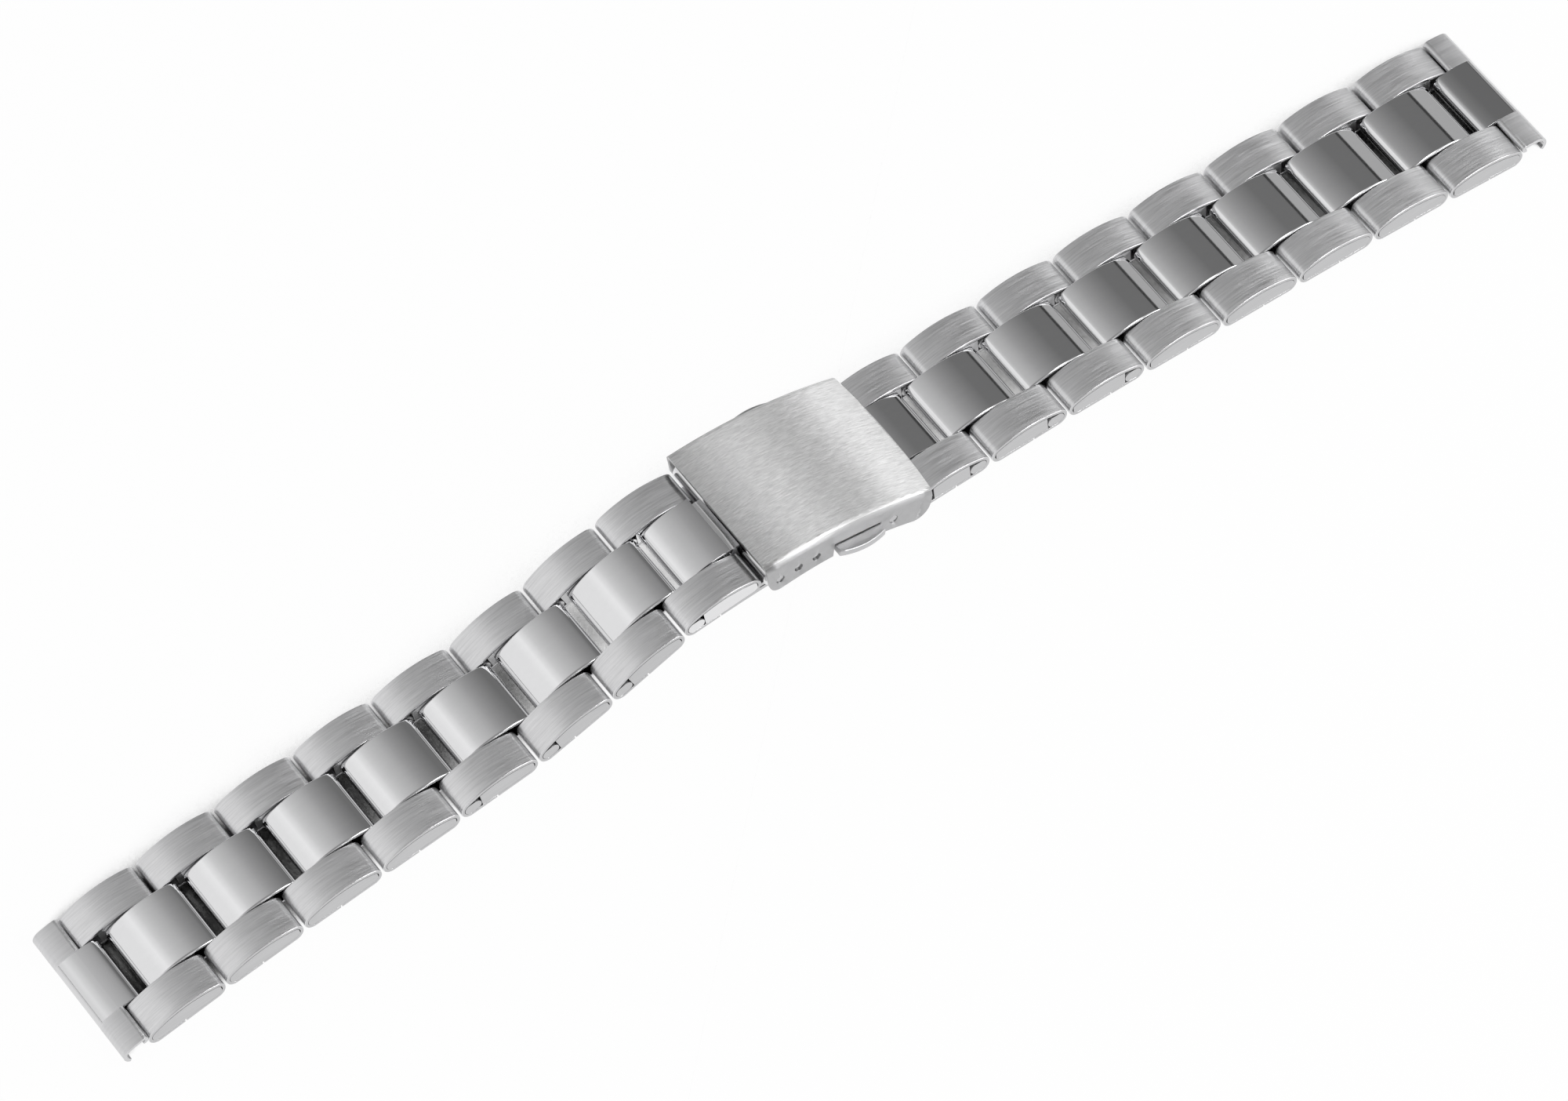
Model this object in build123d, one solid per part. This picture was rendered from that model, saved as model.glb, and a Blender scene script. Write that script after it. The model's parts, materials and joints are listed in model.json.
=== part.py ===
from build123d import *
import os
from math import atan2, cos, radians, sin

# Strap sizes in millimetres, angles in degrees.
PITCH = 10.0
LINK_GAP = 0.25
NOSE_RADIUS = 1.15
CROWN_HEIGHT = 1.8
SHEET = 0.4
SEAM_GAP = 0.15
CENTRE_GAP = 0.5
LUG_END_WIDTH = 17.75
CLASP_END_WIDTH = 16.8
SIDE_GAP = 0.13
SHORT_CENTRE_CUT = 0.6
PAIR_COUNT = 8
FIRST_SCREEN_PAIR = {"left": 5, "right": 6}

# Fits inside a link.
FILLER_CLEARANCE = 0.03
FILLER_END_GAP = 0.12
PIN_CLEARANCE = 0.05
PIN_END_CLEARANCE = 0.03
CHEEK_THICKNESS = 1.0
FILLER_START = 2.55
OVAL_PIN_LENGTH = 2.05

# End plate that meets the watch lugs.
PLATE_SHEET = 0.4
BAR_BORE_RADIUS = 0.75
BORE_OFFSET = 2.05
BORE_RISE = 0.05
HOOK_ANGLE = 145.0
PLATE_END_GAP = 0.12
ROLL_RADIUS = 0.5
ROLL_OFFSET = 0.75
ROLL_RISE = 0.32
TAB_RETURN = 0.4

# Clasp cover, drawn from the left end of its base line.
COVER_LENGTH = 21.3
COVER_SIDE_ROOM = 0.5
COVER_SIDE_WALL = 0.4
COVER_WALL = 0.42
COVER_END_HEIGHT = 4.25
COVER_MID_HEIGHT = 5.45
COVER_LOW_MID = 1.45
COVER_LEFT_LOW = (2.3, 0.2)
COVER_LEFT_SIDE = (0.75, 1.3)
COVER_LEFT_CORNER = (1.15, 0.55)
RIGHT_LOW_BACK = 2.0
RIGHT_LOW_HEIGHT = 0.6
RIGHT_SIDE_BACK = 0.1
RIGHT_SIDE_HEIGHT = 2.4
RIGHT_CORNER_BACK = 0.65
RIGHT_CORNER_HEIGHT = 1.15
COVER_END_BULGE = 0.6
COVER_EDGE_RADIUS = 0.75
COVER_INNER_EDGE_RADIUS = 0.35
COVER_CUT_DEPTH = 3.0
HOLE_RADIUS = 0.52
FIRST_HOLE_HEIGHT = 1.77
SECOND_HOLE_HEIGHT = 2.3
THIRD_HOLE_HEIGHT = 2.65
HINGE_HEIGHT = 2.69
NOTCH_TOP = 3.3

# Push buttons with their guide and spring.
BUTTON_END_GAP = 0.12
BUTTON_TOP_GAP = 0.2
BUTTON_HEIGHT = 0.85
BUTTON_REACH = 1.0
BUTTON_BULGE = 0.5
BUTTON_INSET = 1.05
BUTTON_TRAVEL = 0.8
BUTTON_EDGE_RADIUS = 0.15
TONGUE_LEAD = 1.0
TONGUE_WIDTH = 2.8
TONGUE_LENGTH = 3.25
TONGUE_RISE = 0.1
TONGUE_HEIGHT = 0.7
POCKET_DEPTH = 1.4
POCKET_WIDTH = 1.0
SPRING_END_GAP = 1.0
SPRING_BOW = 0.9
SPRING_THICKNESS = 0.15
SPRING_HEIGHT = 0.5
GUIDE_CLEARANCE = 0.15
GUIDE_WALL = 0.35
GUIDE_END_GAP = 0.15
GUIDE_SIDE_HEIGHT = 0.8
RISER_HALF_WIDTH = 2.0
RISER_TOP = 4.9

# Folding blades, their hinges and the bar that holds the strap.
BLADE_SIDE_GAP = 1.4
BLADE_THICKNESS = 0.5
HINGE_PIN_RADIUS = 0.48
HINGE_KNUCKLE_RADIUS = 0.78
HINGE_PIN_RECESS = 0.05
KNUCKLE_CLEARANCE = 0.04
FOLD_HINGE_AHEAD = 3.5
FOLD_HINGE_DROP = 1.65
FOLD_PIN_RADIUS = 0.3
FOLD_KNUCKLE_RADIUS = 0.65
FOLD_MIDDLE_HALF = 3.0
FOLD_SIDE_GAP = 0.12
MIDDLE_BLADE_SAG = 0.15
END_BLADE_SAG = 0.8
WINDOW_LENGTH = 3.0
WINDOW_WIDTH = 3.4
POST_RADIUS = 0.45
POST_BOTTOM = 0.6
POST_TOP = 2.1
SPRING_BAR_RADIUS = 0.72
SPRING_BAR_TIP_RADIUS = 0.46
SPRING_BAR_END_GAP = 0.5
SPRING_BAR_TIP_RECESS = 0.1
STRAP_ROLL_RADIUS = 1.55
STRAP_ROLL_BORE = 0.8
STRAP_ROLL_OFFSET = 1.8
STRAP_ROLL_DROP = 0.16
STRAP_TONGUE_DROP = 0.3
STRAP_END_BACK = 0.32
STRAP_END_HEIGHT = 1.8

# Rest pose: angle of each piece to the table, from the lug end to the clasp.
COVER_ANGLE = 12.5
LEFT_PAIR_ANGLES = (7.6, 5.6, 4.4, 4.0, 4.6, 14.6, 16.8, 2.5)
RIGHT_PAIR_ANGLES = (8.0, 6.5, 5.0, 5.1, 4.8, 3.9, 2.2, 1.5)
LEFT_PLATE_ANGLE = 8.0
RIGHT_PLATE_ANGLE = 6.0

# Shares of a pair's width, a link's length and the cover's length.
centre_share = 0.48
seam_share = 0.45
long_edge_share = 0.5
first_hole_share = 0.0953
second_hole_share = 0.2019
third_hole_share = 0.3075
notch_start_share = 0.4131
notch_end_share = 0.6925
hinge_share = 0.77

HALF_TURN_ANGLE = 180.0
QUARTER_TURN_ANGLE = 90.0

LINK_LENGTH = PITCH - LINK_GAP
CENTRE_START = NOSE_RADIUS + NOSE_RADIUS + CENTRE_GAP
CENTRE_LENGTH = PITCH - CENTRE_GAP
AXIS = NOSE_RADIUS
NEXT_AXIS = AXIS + PITCH
CLASP_AXIS = LINK_LENGTH - NOSE_RADIUS
BORE = NOSE_RADIUS - SHEET
PIN_RADIUS = BORE - PIN_CLEARANCE
COVER_INNER_WIDTH = CLASP_END_WIDTH + COVER_SIDE_ROOM + COVER_SIDE_ROOM
COVER_WIDTH = COVER_INNER_WIDTH + COVER_SIDE_WALL + COVER_SIDE_WALL
BAR_HOLE = (first_hole_share * COVER_LENGTH, FIRST_HOLE_HEIGHT)
SECOND_HOLE = (second_hole_share * COVER_LENGTH, SECOND_HOLE_HEIGHT)
THIRD_HOLE = (third_hole_share * COVER_LENGTH, THIRD_HOLE_HEIGHT)
COVER_HINGE = (hinge_share * COVER_LENGTH, HINGE_HEIGHT)
FOLD_HINGE = (-FOLD_HINGE_AHEAD, -FOLD_HINGE_DROP)
STRAP_END_AXIS = (COVER_LENGTH - STRAP_END_BACK, STRAP_END_HEIGHT)
NOTCH_START = notch_start_share * COVER_LENGTH
NOTCH_END = notch_end_share * COVER_LENGTH
BUTTON_TOP = NOTCH_TOP - BUTTON_TOP_GAP
BUTTON_BOTTOM = BUTTON_TOP - BUTTON_HEIGHT
BUTTON_FACE = COVER_WIDTH / 2 + BUTTON_REACH
BUTTON_ROOT = COVER_WIDTH / 2 - BUTTON_INSET
TONGUE_START = NOTCH_START + TONGUE_LEAD
TONGUE_END = TONGUE_START + TONGUE_WIDTH
TONGUE_BOTTOM = BUTTON_BOTTOM + TONGUE_RISE
TONGUE_TOP = TONGUE_BOTTOM + TONGUE_HEIGHT
TONGUE_REACH = BUTTON_ROOT - TONGUE_LENGTH
POCKET_END = TONGUE_REACH + POCKET_DEPTH
SPRING_REACH = POCKET_END - SPRING_END_GAP
WINDOW_CENTRE = (TONGUE_START + TONGUE_END) / 2
GUIDE_HALF_WIDTH = BUTTON_ROOT - BUTTON_TRAVEL - GUIDE_END_GAP
BLADE_WIDTH = COVER_INNER_WIDTH - BLADE_SIDE_GAP - BLADE_SIDE_GAP


def turned(point, angle):
    """Return a point of the side view turned about the Y axis."""
    turn = radians(angle)
    return (point[0] * cos(turn) + point[1] * sin(turn), point[1] * cos(turn) - point[0] * sin(turn))


def joined(first, second, sign=1):
    """Return the sum of two side view points, or their difference."""
    return (first[0] + sign * second[0], first[1] + sign * second[1])


def cover_point(point):
    """Return a point of the cover's side view in the shared frame."""
    return turned(point, COVER_ANGLE)


def swept(sketch, half_width):
    """Return a side view sketch swept to both sides of the middle plane."""
    return extrude(Plane.XZ * sketch, amount=half_width, both=True)


def columns(sketch, inner, outer):
    """Return a side view sketch swept from inner to outer on both sides."""
    return swept(sketch, outer) - swept(sketch, inner)


def strip(left, low, right, high):
    """Return an upright rectangle of the side view from two corners."""
    middle = ((left + right) / 2, (low + high) / 2)
    return Pos(*middle) * Rectangle(right - left, high - low)


def disc(centre, radius):
    """Return a disc of the side view."""
    return Pos(*centre) * Circle(radius)


def block(left, right, near, far, low, high):
    """Return a box from its limits along X, Y and Z."""
    middle = ((left + right) / 2, (near + far) / 2, (low + high) / 2)
    return Pos(*middle) * Box(right - left, far - near, high - low)


def link_outline(start, length, inset):
    """Return the crowned outline of a link, drawn inside by the inset."""
    half = length / 2
    span = half - NOSE_RADIUS
    rise = CROWN_HEIGHT - NOSE_RADIUS
    big = (span * span + CROWN_HEIGHT * CROWN_HEIGHT - NOSE_RADIUS * NOSE_RADIUS) / (rise + rise)
    lean = atan2(span, big - CROWN_HEIGHT)
    small = NOSE_RADIUS - inset
    first = start + NOSE_RADIUS
    last = start + length - NOSE_RADIUS
    left_touch = (first - small * sin(lean), small * cos(lean))
    right_touch = (last + small * sin(lean), small * cos(lean))
    edges = [
        ThreePointArc((first, -small), (first - small, 0), left_touch),
        ThreePointArc(left_touch, (start + half, CROWN_HEIGHT - inset), right_touch),
        ThreePointArc(right_touch, (last + small, 0), (last, -small)),
        Line((last, -small), (first, -small)),
    ]
    return make_face(edges)


def rolled_link(start, length):
    """Return the side view of a link rolled from sheet, without its seam."""
    return link_outline(start, length, 0) - link_outline(start, length, SHEET)


def folded_link(start, length):
    """Return the side view of a sheet link with its seam underneath."""
    seam = start + seam_share * length
    return rolled_link(start, length) - strip(seam, -CROWN_HEIGHT, seam + SEAM_GAP, 0)


def pair_width(pair):
    """Return the width of a pair, counted from the lug end."""
    return LUG_END_WIDTH - (LUG_END_WIDTH - CLASP_END_WIDTH) * (pair - 1) / (PAIR_COUNT - 1)


def centre_half(pair):
    """Return half the width of a centre link."""
    return centre_share * pair_width(pair) / 2


def outer_links(pair):
    """Return both outer links of a pair."""
    inner = centre_half(pair) + SIDE_GAP
    return columns(folded_link(0, LINK_LENGTH), inner, pair_width(pair) / 2)


def short_centre_stop(side):
    """Return where the short centre piece of the last pair ends."""
    return LINK_LENGTH - SHORT_CENTRE_CUT if side == "left" else CLASP_AXIS - NOSE_RADIUS - SIDE_GAP


def centre_link(pair, side):
    """Return the centre link that bridges a pair and the next one."""
    if pair < PAIR_COUNT:
        return swept(folded_link(CENTRE_START, CENTRE_LENGTH), centre_half(pair))
    kept = strip(0, -CROWN_HEIGHT, short_centre_stop(side), CROWN_HEIGHT)
    return swept(rolled_link(CENTRE_START, CENTRE_LENGTH) & kept, centre_half(pair))


def filler_outline(pair, side, start):
    """Return the side view of the plate that fills an outer link."""
    stop = LINK_LENGTH - SHEET - FILLER_END_GAP
    if pair == PAIR_COUNT and side == "right":
        stop = LINK_LENGTH - FILLER_START
    inner = link_outline(0, LINK_LENGTH, SHEET + FILLER_CLEARANCE)
    return inner & strip(start, -CROWN_HEIGHT, stop, CROWN_HEIGHT)


def filler_plate(pair, side):
    """Return the filler plate that runs through a pair and its centre link."""
    half = pair_width(pair) / 2
    waist = centre_half(pair) + SIDE_GAP
    outline = filler_outline(pair, side, FILLER_START)
    centre = outline & link_outline(CENTRE_START, CENTRE_LENGTH, SHEET + FILLER_CLEARANCE)
    if pair == PAIR_COUNT:
        centre = centre & strip(0, -CROWN_HEIGHT, short_centre_stop(side) - FILLER_CLEARANCE, CROWN_HEIGHT)
    plate = columns(outline, waist, half) + swept(centre, waist)
    if pair < FIRST_SCREEN_PAIR[side]:
        cheek = filler_outline(pair, side, 0)
        plate += columns(cheek, half - CHEEK_THICKNESS, half)
    return plate


def round_pin(pair, axis):
    """Return the plain pin of a pair that ends behind the cheeks."""
    half = pair_width(pair) / 2 - CHEEK_THICKNESS - PIN_END_CLEARANCE
    return swept(disc((axis, 0), PIN_RADIUS), half)


def oval_pin(pair):
    """Return the pin of a pair that can be taken out, with oval ends."""
    half = pair_width(pair) / 2
    far_end = AXIS + OVAL_PIN_LENGTH - PIN_RADIUS - PIN_RADIUS
    oval = disc((AXIS, 0), PIN_RADIUS) + disc((far_end, 0), PIN_RADIUS)
    oval += strip(AXIS, -PIN_RADIUS, far_end, PIN_RADIUS)
    inner = centre_half(pair) + SIDE_GAP
    return columns(oval, inner, half) + swept(disc((AXIS, 0), PIN_RADIUS), inner)


def strap_end_roll(pair):
    """Return the polished roll and tongue that hold the clasp's spring bar."""
    centre = (LINK_LENGTH + STRAP_ROLL_OFFSET, -STRAP_ROLL_DROP)
    bore = disc(centre, STRAP_ROLL_BORE)
    start = LINK_LENGTH - SHEET - NOSE_RADIUS
    tongue = strip(start, -BORE, centre[0], NOSE_RADIUS - STRAP_TONGUE_DROP) - bore
    roll = swept(disc(centre, STRAP_ROLL_RADIUS) - bore, pair_width(pair) / 2)
    return roll + swept(tongue, centre_half(pair) - SHEET)


def core_and_pin(pair, side):
    """Return the filler plate of a pair with the pin it turns on."""
    plate = filler_plate(pair, side)
    if pair == PAIR_COUNT and side == "left":
        plate += strap_end_roll(pair)
    pieces = [plate]
    if pair < FIRST_SCREEN_PAIR[side]:
        pieces.append(round_pin(pair, AXIS))
    else:
        pieces.append(oval_pin(pair))
    if pair == PAIR_COUNT and side == "right":
        pieces.append(round_pin(pair, CLASP_AXIS))
    return Compound(children=[solid for piece in pieces for solid in piece.solids()])


def hook_outline():
    """Return the side view of the open roll that takes the watch's spring bar."""
    centre = (-BORE_OFFSET, BORE_RISE)
    outer = BAR_BORE_RADIUS + PLATE_SHEET
    ring = disc(centre, outer) - disc(centre, BAR_BORE_RADIUS)
    reach = outer + outer
    cut_angle = radians(QUARTER_TURN_ANGLE + HOOK_ANGLE)
    tip = (centre[0] + reach * cos(cut_angle), centre[1] + reach * sin(cut_angle))
    corner = (centre[0] + reach, centre[1] - reach)
    top = (centre[0], centre[1] + reach)
    side = (centre[0] + reach, centre[1] + reach)
    return ring - make_face(Polyline(centre, tip, (tip[0], corner[1]), corner, side, top, close=True))


def end_plate():
    """Return the end plate with its open roll, stiffening roll and hinge tab."""
    top = BORE_RISE + BAR_BORE_RADIUS + PLATE_SHEET
    plate = strip(-BORE_OFFSET, top - PLATE_SHEET, -PLATE_END_GAP, top)
    full = hook_outline() + plate + disc((-ROLL_OFFSET, ROLL_RISE), ROLL_RADIUS)
    ring = disc((AXIS, 0), NOSE_RADIUS)
    upper = strip(-ROLL_OFFSET, NOSE_RADIUS - PLATE_SHEET, AXIS, NOSE_RADIUS)
    lower = strip(-TAB_RETURN, -NOSE_RADIUS, AXIS, PLATE_SHEET - NOSE_RADIUS)
    tab = ring + upper + lower - disc((AXIS, 0), BORE)
    return swept(full, LUG_END_WIDTH / 2) + swept(tab, centre_half(1))


def cover_outline():
    """Return the outer side view of the clasp cover."""
    left_top = (0, COVER_END_HEIGHT)
    right_low = (COVER_LENGTH - RIGHT_LOW_BACK, RIGHT_LOW_HEIGHT)
    right_corner = (COVER_LENGTH - RIGHT_CORNER_BACK, RIGHT_CORNER_HEIGHT)
    right_side = (COVER_LENGTH - RIGHT_SIDE_BACK, RIGHT_SIDE_HEIGHT)
    right_top = (COVER_LENGTH + COVER_END_BULGE, RIGHT_SIDE_HEIGHT)
    drop = COVER_MID_HEIGHT - COVER_END_HEIGHT
    half = COVER_LENGTH / 2
    over = (half + COVER_END_BULGE) / half
    top_end = (COVER_LENGTH + COVER_END_BULGE, COVER_MID_HEIGHT - drop * over * over)
    edges = [
        ThreePointArc(left_top, (half, COVER_MID_HEIGHT), top_end),
        Line(top_end, right_top),
        Line(right_top, right_side),
        ThreePointArc(right_side, right_corner, right_low),
        ThreePointArc(right_low, (half, COVER_LOW_MID), COVER_LEFT_LOW),
        ThreePointArc(COVER_LEFT_LOW, COVER_LEFT_CORNER, COVER_LEFT_SIDE),
        Line(COVER_LEFT_SIDE, left_top),
    ]
    return make_face(edges)


def cover_hollow():
    """Return the side view of the space inside the cover."""
    half = COVER_LENGTH / 2
    low = -COVER_CUT_DEPTH
    fall = COVER_MID_HEIGHT - COVER_END_HEIGHT
    beyond = (half + COVER_CUT_DEPTH) / half
    end = COVER_MID_HEIGHT - COVER_WALL - fall * beyond * beyond
    left = -COVER_CUT_DEPTH
    right = COVER_LENGTH + COVER_CUT_DEPTH
    edges = [
        ThreePointArc((left, end), (half, COVER_MID_HEIGHT - COVER_WALL), (right, end)),
        Line((right, end), (right, low)),
        Line((right, low), (left, low)),
        Line((left, low), (left, end)),
    ]
    return make_face(edges)


def plan_outline():
    """Return the cover's plan with its bulged right end."""
    half = COVER_WIDTH / 2
    left = -COVER_CUT_DEPTH
    tip = COVER_LENGTH + COVER_END_BULGE
    edges = [
        Line((left, half), (COVER_LENGTH, half)),
        ThreePointArc((COVER_LENGTH, half), (tip, 0), (COVER_LENGTH, -half)),
        Line((COVER_LENGTH, -half), (left, -half)),
        Line((left, -half), (left, half)),
    ]
    return make_face(edges)


def long_top_edges(solid, half_width):
    """Return the two curved edges along the top of a swept body."""
    found = solid.edges().filter_by(GeomType.CIRCLE)
    longest = [edge for edge in found if edge.length > COVER_LENGTH * long_edge_share]
    return [edge for edge in longest if edge.center().Z > HINGE_HEIGHT
            and abs(abs(edge.center().Y) - half_width) < SIDE_GAP]


def clasp_cover():
    """Return the arched clasp cover with its holes and button notches."""
    outer = swept(cover_outline(), COVER_WIDTH / 2)
    outer = fillet(long_top_edges(outer, COVER_WIDTH / 2), COVER_EDGE_RADIUS)
    hollow = swept(cover_hollow(), COVER_INNER_WIDTH / 2)
    hollow = fillet(long_top_edges(hollow, COVER_INNER_WIDTH / 2), COVER_INNER_EDGE_RADIUS)
    cover = outer & extrude(Plane.XY * plan_outline(), amount=COVER_MID_HEIGHT + COVER_CUT_DEPTH, both=True)
    cover = cover - hollow
    for hole in (BAR_HOLE, SECOND_HOLE, THIRD_HOLE, COVER_HINGE):
        cover = cover - swept(disc(hole, HOLE_RADIUS), COVER_WIDTH)
    notch = strip(NOTCH_START, -COVER_CUT_DEPTH, NOTCH_END, NOTCH_TOP)
    return cover - swept(notch, COVER_WIDTH)


def push_button(sign):
    """Return one push button with the tongue that reaches inside."""
    start = NOTCH_START + BUTTON_END_GAP
    end = NOTCH_END - BUTTON_END_GAP
    summit = ((start + end) / 2, BUTTON_FACE + BUTTON_BULGE)
    edges = [
        Line((start, BUTTON_ROOT), (start, BUTTON_FACE)),
        ThreePointArc((start, BUTTON_FACE), summit, (end, BUTTON_FACE)),
        Line((end, BUTTON_FACE), (end, BUTTON_ROOT)),
        Line((end, BUTTON_ROOT), (start, BUTTON_ROOT)),
    ]
    head = Pos(0, 0, BUTTON_BOTTOM) * extrude(Plane.XY * make_face(edges), amount=BUTTON_HEIGHT)
    head = fillet(head.edges().filter_by(GeomType.CIRCLE), BUTTON_EDGE_RADIUS)
    tongue = block(TONGUE_START, TONGUE_END, TONGUE_REACH, BUTTON_ROOT, TONGUE_BOTTOM, TONGUE_TOP)
    pocket_half = POCKET_WIDTH / 2
    left = WINDOW_CENTRE - pocket_half
    pocket = block(left, left + POCKET_WIDTH, 0, POCKET_END, 0, COVER_MID_HEIGHT)
    button = head + tongue - pocket
    return button if sign > 0 else mirror(button, about=Plane.XZ)


def button_spring():
    """Return the bowed strip that pushes both buttons outward."""
    half = SPRING_THICKNESS / 2
    inner = WINDOW_CENTRE - half
    outer = WINDOW_CENTRE + half
    edges = [
        ThreePointArc((inner, -SPRING_REACH), (inner + SPRING_BOW, 0), (inner, SPRING_REACH)),
        Line((inner, SPRING_REACH), (outer, SPRING_REACH)),
        ThreePointArc((outer, SPRING_REACH), (outer + SPRING_BOW, 0), (outer, -SPRING_REACH)),
        Line((outer, -SPRING_REACH), (inner, -SPRING_REACH)),
    ]
    return Pos(0, 0, TONGUE_BOTTOM + TONGUE_RISE) * extrude(Plane.XY * make_face(edges), amount=SPRING_HEIGHT)


def button_guide():
    """Return the channel under the cover in which the buttons slide."""
    left = TONGUE_START - GUIDE_CLEARANCE - GUIDE_WALL
    right = TONGUE_END + GUIDE_CLEARANCE + GUIDE_WALL
    roof = TONGUE_TOP + GUIDE_CLEARANCE
    low = roof - GUIDE_SIDE_HEIGHT
    section = strip(left, low, left + GUIDE_WALL, roof)
    section += strip(right - GUIDE_WALL, low, right, roof)
    section += strip(left, roof, right, roof + GUIDE_WALL)
    riser = strip(left + GUIDE_WALL, roof, right - GUIDE_WALL, RISER_TOP)
    return swept(section, GUIDE_HALF_WIDTH) + swept(riser, RISER_HALF_WIDTH)


def arched_strip(start, end, sag, thickness):
    """Return a bowed sheet of the side view, drawn upward from its underside."""
    middle = ((start[0] + end[0]) / 2, (start[1] + end[1]) / 2 + sag)
    upper_start = joined(start, (0, thickness))
    upper_middle = joined(middle, (0, thickness))
    upper_end = joined(end, (0, thickness))
    edges = [
        ThreePointArc(start, middle, end),
        Line(end, upper_end),
        ThreePointArc(upper_end, upper_middle, upper_start),
        Line(upper_start, start),
    ]
    return make_face(edges)


def fold_space():
    """Return the room left around the fold hinge of the blades."""
    return disc(FOLD_HINGE, FOLD_KNUCKLE_RADIUS + FOLD_SIDE_GAP)


def middle_blade():
    """Return the blade between the cover and the fold hinge."""
    start = (FOLD_HINGE[0], FOLD_HINGE[1] + FOLD_KNUCKLE_RADIUS - BLADE_THICKNESS)
    end = (COVER_HINGE[0], COVER_HINGE[1] - HINGE_KNUCKLE_RADIUS)
    sheet = arched_strip(start, end, MIDDLE_BLADE_SAG, BLADE_THICKNESS)
    bore = disc(COVER_HINGE, HINGE_PIN_RADIUS + KNUCKLE_CLEARANCE)
    section = sheet + disc(COVER_HINGE, HINGE_KNUCKLE_RADIUS) - bore
    half = BLADE_WIDTH / 2
    fold = disc(FOLD_HINGE, FOLD_KNUCKLE_RADIUS)
    blade = swept(section - fold_space(), half)
    side = (section & fold_space()) + fold - disc(FOLD_HINGE, FOLD_PIN_RADIUS + KNUCKLE_CLEARANCE)
    blade += columns(side, FOLD_MIDDLE_HALF + FOLD_SIDE_GAP, half)
    window = WINDOW_LENGTH / 2
    width = WINDOW_WIDTH / 2
    return blade - block(WINDOW_CENTRE - window, WINDOW_CENTRE + window, -width, width, 0, COVER_MID_HEIGHT)


def end_blade():
    """Return the blade between the fold hinge and the right half of the strap."""
    start = (FOLD_HINGE[0], FOLD_HINGE[1] - FOLD_KNUCKLE_RADIUS)
    end = (STRAP_END_AXIS[0], STRAP_END_AXIS[1] - NOSE_RADIUS)
    sheet = arched_strip(start, end, END_BLADE_SAG, BLADE_THICKNESS)
    stop = STRAP_END_AXIS[0] - NOSE_RADIUS - LINK_GAP - SIDE_GAP
    half = BLADE_WIDTH / 2
    far_left = FOLD_HINGE[0] - NOSE_RADIUS
    wide = sheet & strip(far_left, -COVER_MID_HEIGHT, stop, COVER_MID_HEIGHT)
    tab = sheet & strip(stop - SHEET, -COVER_MID_HEIGHT, COVER_LENGTH, COVER_MID_HEIGHT)
    tab = tab + disc(STRAP_END_AXIS, NOSE_RADIUS) - disc(STRAP_END_AXIS, BORE)
    blade = swept(wide - fold_space(), half) + swept(tab, centre_half(PAIR_COUNT))
    knuckle = (wide & fold_space()) + disc(FOLD_HINGE, FOLD_KNUCKLE_RADIUS)
    blade += swept(knuckle - disc(FOLD_HINGE, FOLD_PIN_RADIUS + KNUCKLE_CLEARANCE), FOLD_MIDDLE_HALF)
    post = Pos(WINDOW_CENTRE, 0, POST_BOTTOM) * Cylinder(POST_RADIUS, POST_TOP - POST_BOTTOM,
                                                        align=(Align.CENTER, Align.CENTER, Align.MIN))
    return blade + post


def spring_bar():
    """Return the spring bar that joins the strap to the cover."""
    body = swept(disc(BAR_HOLE, SPRING_BAR_RADIUS), COVER_INNER_WIDTH / 2 - SPRING_BAR_END_GAP)
    return body + swept(disc(BAR_HOLE, SPRING_BAR_TIP_RADIUS), COVER_WIDTH / 2 - SPRING_BAR_TIP_RECESS)


def cover_frame():
    """Return the place of the cover in the shared frame."""
    return Location((0, 0, 0), (0, COVER_ANGLE, 0))


def clasp_nodes():
    """Return the clasp pieces by node name, placed in the shared frame."""
    pin_half = COVER_WIDTH / 2 - HINGE_PIN_RECESS
    shapes = {
        "clasp_cover": clasp_cover(),
        "near_push_button": push_button(-1),
        "far_push_button": push_button(1),
        "button_spring": button_spring(),
        "button_guide": button_guide(),
        "cover_hinge_pin": swept(disc(COVER_HINGE, HINGE_PIN_RADIUS), pin_half),
        "middle_blade": middle_blade(),
        "blade_hinge_pin": swept(disc(FOLD_HINGE, FOLD_PIN_RADIUS), BLADE_WIDTH / 2),
        "end_blade": end_blade(),
        "spring_bar": spring_bar(),
    }
    return {name: cover_frame() * shape for name, shape in shapes.items()}


def half_frames(side):
    """Return the place of each pair of one half and of its end plate."""
    sign = 1 if side == "left" else -1
    angles = LEFT_PAIR_ANGLES if side == "left" else RIGHT_PAIR_ANGLES
    plate_angle = LEFT_PLATE_ANGLE if side == "left" else RIGHT_PLATE_ANGLE
    if side == "left":
        anchor = cover_point(BAR_HOLE)
        local = (LINK_LENGTH + STRAP_ROLL_OFFSET, -STRAP_ROLL_DROP)
    else:
        anchor = cover_point(STRAP_END_AXIS)
        local = (-CLASP_AXIS, 0)
    frames = {}
    for pair in range(PAIR_COUNT, 0, -1):
        angle = -sign * angles[pair - 1]
        origin = joined(anchor, turned(local, angle), -1)
        frames[pair] = (origin, angle)
        anchor = joined(origin, turned((sign * AXIS, 0), angle))
        local = (sign * NEXT_AXIS, 0)
    angle = -sign * plate_angle
    frames["plate"] = (joined(anchor, turned((sign * AXIS, 0), angle), -1), angle)
    return frames


def placed(shape, frame, side):
    """Return a strap piece moved to its frame, turned round for the right half."""
    origin, angle = frame
    place = Location((origin[0], 0, origin[1]), (0, angle, 0))
    if side == "right":
        place = place * Location((0, 0, 0), (0, 0, HALF_TURN_ANGLE))
    return place * shape


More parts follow.
